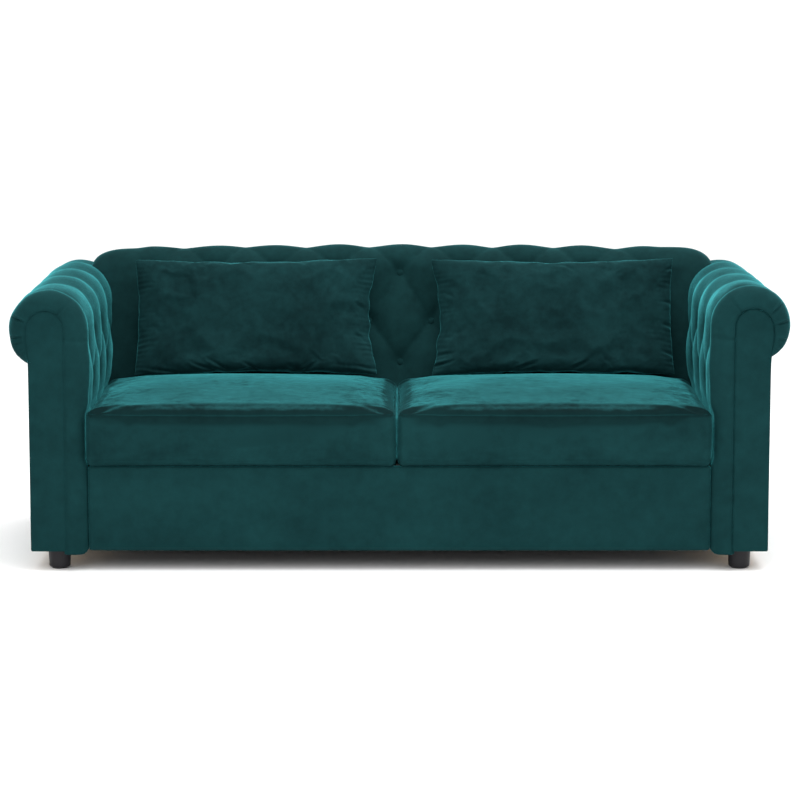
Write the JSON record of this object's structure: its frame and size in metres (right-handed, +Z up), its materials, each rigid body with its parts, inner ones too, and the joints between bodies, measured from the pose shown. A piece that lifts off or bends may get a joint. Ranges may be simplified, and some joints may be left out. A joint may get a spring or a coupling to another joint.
{
  "type": "futon sofa bed",
  "caption": "Low sofa with rolled arms, buttoned velvet back, loose seat cushions and lumbar pillows, over a bed that folds out of its base on lift links.",
  "frame": {"origin": "on the floor, under the middle of the sofa", "axes": "+Z up, +X to the right seen from the front, the front faces -Y"},
  "size_m": [2.17, 0.92, 0.843],
  "materials": {
    "velvet": "velvet pile",
    "velvet_back": "velvet pile, buttoned",
    "velvet_cushion": "velvet pile over foam",
    "velvet_pillow": "velvet pile over loose fill",
    "velvet_board": "velvet pile stretched over board",
    "dust_cloth": "spunbonded cloth",
    "webbing": "woven elastic webbing",
    "mattress_ticking": "quilted knit",
    "black_plastic": "satin moulded",
    "felt": "felt",
    "rubber": "matt",
    "beech_slat": "clear lacquer",
    "pine": "sawn",
    "zinc_steel": "zinc plated",
    "grey_steel": "powder coated"
  },
  "bodies": {
    "sofa": {"arm_base_boards": "pine", "arm_buttons": "velvet", "arm_facing_left": "velvet", "arm_facing_right": "velvet", "arm_frame_left": "pine", "arm_frame_right": "pine", "arm_outer_panels": "velvet_board", "arm_pad_left": "velvet", "arm_pad_right": "velvet", "back_buttons": "velvet_back", "back_frame": "pine", "back_outer_panel": "velvet_board", "back_pad": "velvet_back", "back_webbing": "webbing", "dust_cover": "dust_cloth", "front_board": "pine", "front_panel_cover": "velvet", "link_pivot_pins": "zinc_steel", "mechanism_rails": "grey_steel", "rail_bolts": "zinc_steel", "rear_rail": "pine", "sofa_leg_front_left": "black_plastic", "sofa_leg_front_right": "black_plastic", "sofa_leg_glides": "felt", "sofa_leg_rear_left": "black_plastic", "sofa_leg_rear_right": "black_plastic", "sofa_leg_studs": "zinc_steel"},
    "head_section": {"carrier_pins": "zinc_steel", "fold_pins_front": "zinc_steel", "head_frame": "grey_steel", "head_hinge_plates": "grey_steel", "head_mattress": "mattress_ticking", "head_slats": "beech_slat"},
    "middle_section": {"fold_pins_rear": "zinc_steel", "middle_ears": "grey_steel", "middle_frame": "grey_steel", "middle_hinge_plates": "grey_steel", "middle_leg_pins": "zinc_steel", "middle_mattress": "mattress_ticking", "middle_slats": "beech_slat"},
    "foot_section": {"foot_ears": "grey_steel", "foot_frame": "grey_steel", "foot_leg_pins": "zinc_steel", "foot_mattress": "mattress_ticking", "foot_slats": "beech_slat", "pull_bar": "grey_steel"},
    "foot_legs": {"foot_leg_caps": "rubber", "foot_leg_left": "grey_steel", "foot_leg_right": "grey_steel"},
    "front_links": {"front_lift_link_left": "grey_steel", "front_lift_link_right": "grey_steel"},
    "lumbar_pillow_left": {"lumbar_pillow_left": "velvet_pillow"},
    "lumbar_pillow_right": {"lumbar_pillow_right": "velvet_pillow"},
    "middle_legs": {"middle_leg_caps": "rubber", "middle_leg_left": "grey_steel", "middle_leg_right": "grey_steel"},
    "rear_links": {"rear_lift_link_left": "grey_steel", "rear_lift_link_right": "grey_steel"},
    "seat_cushion_left": {"seat_cushion_left": "velvet_cushion"},
    "seat_cushion_right": {"seat_cushion_right": "velvet_cushion"}
  },
  "joints": [
    {"name": "bed_unfold", "type": "hinge", "parent": "sofa", "child": "front_links", "pos_m": [0, -0.34972, 0.13789], "axis": [1, 0, 0], "range_deg": [0, 96]},
    {"name": "rear_link_swing", "type": "hinge", "parent": "sofa", "child": "rear_links", "pos_m": [0, 0.06028, 0.13789], "axis": [1, 0, 0], "range_deg": [0, 96]},
    {"name": "head_carrier_pivot", "type": "hinge", "parent": "front_links", "child": "head_section", "pos_m": [0, -0.15, 0.073], "axis": [1, 0, 0], "range_deg": [-96, 0]},
    {"name": "front_fold", "type": "hinge", "parent": "head_section", "child": "middle_section", "pos_m": [0, -0.355, 0.139], "axis": [1, 0, 0], "range_deg": [0, 180]},
    {"name": "rear_fold", "type": "hinge", "parent": "middle_section", "child": "foot_section", "pos_m": [0, 0.185, 0.217], "axis": [1, 0, 0], "range_deg": [-180, 0]},
    {"name": "middle_legs_swing", "type": "hinge", "parent": "middle_section", "child": "middle_legs", "pos_m": [0, 0.155, 0.205], "axis": [1, 0, 0], "range_deg": [-90, 0]},
    {"name": "foot_legs_swing", "type": "hinge", "parent": "foot_section", "child": "foot_legs", "pos_m": [0, -0.381, 0.229], "axis": [1, 0, 0], "range_deg": [-90, 0]},
    {"name": "seat_cushion_left_lift", "type": "slide", "parent": "foot_section", "child": "seat_cushion_left", "axis": [0, 0, 1], "range_m": [0, 0.35]},
    {"name": "lumbar_pillow_left_lift", "type": "slide", "parent": "seat_cushion_left", "child": "lumbar_pillow_left", "axis": [0, 0, 1], "range_m": [0, 0.35]},
    {"name": "seat_cushion_right_lift", "type": "slide", "parent": "foot_section", "child": "seat_cushion_right", "axis": [0, 0, 1], "range_m": [0, 0.35]},
    {"name": "lumbar_pillow_right_lift", "type": "slide", "parent": "seat_cushion_right", "child": "lumbar_pillow_right", "axis": [0, 0, 1], "range_m": [0, 0.35]}
  ],
  "couplings": [
    {"joint": "rear_link_swing", "follows": "bed_unfold", "ratio": 1},
    {"joint": "head_carrier_pivot", "follows": "bed_unfold", "ratio": -1},
    {"joint": "front_fold", "follows": "bed_unfold", "ratio": 1.875},
    {"joint": "rear_fold", "follows": "bed_unfold", "ratio": -1.875},
    {"joint": "middle_legs_swing", "follows": "bed_unfold", "ratio": -0.9375},
    {"joint": "foot_legs_swing", "follows": "bed_unfold", "ratio": -0.9375}
  ]
}
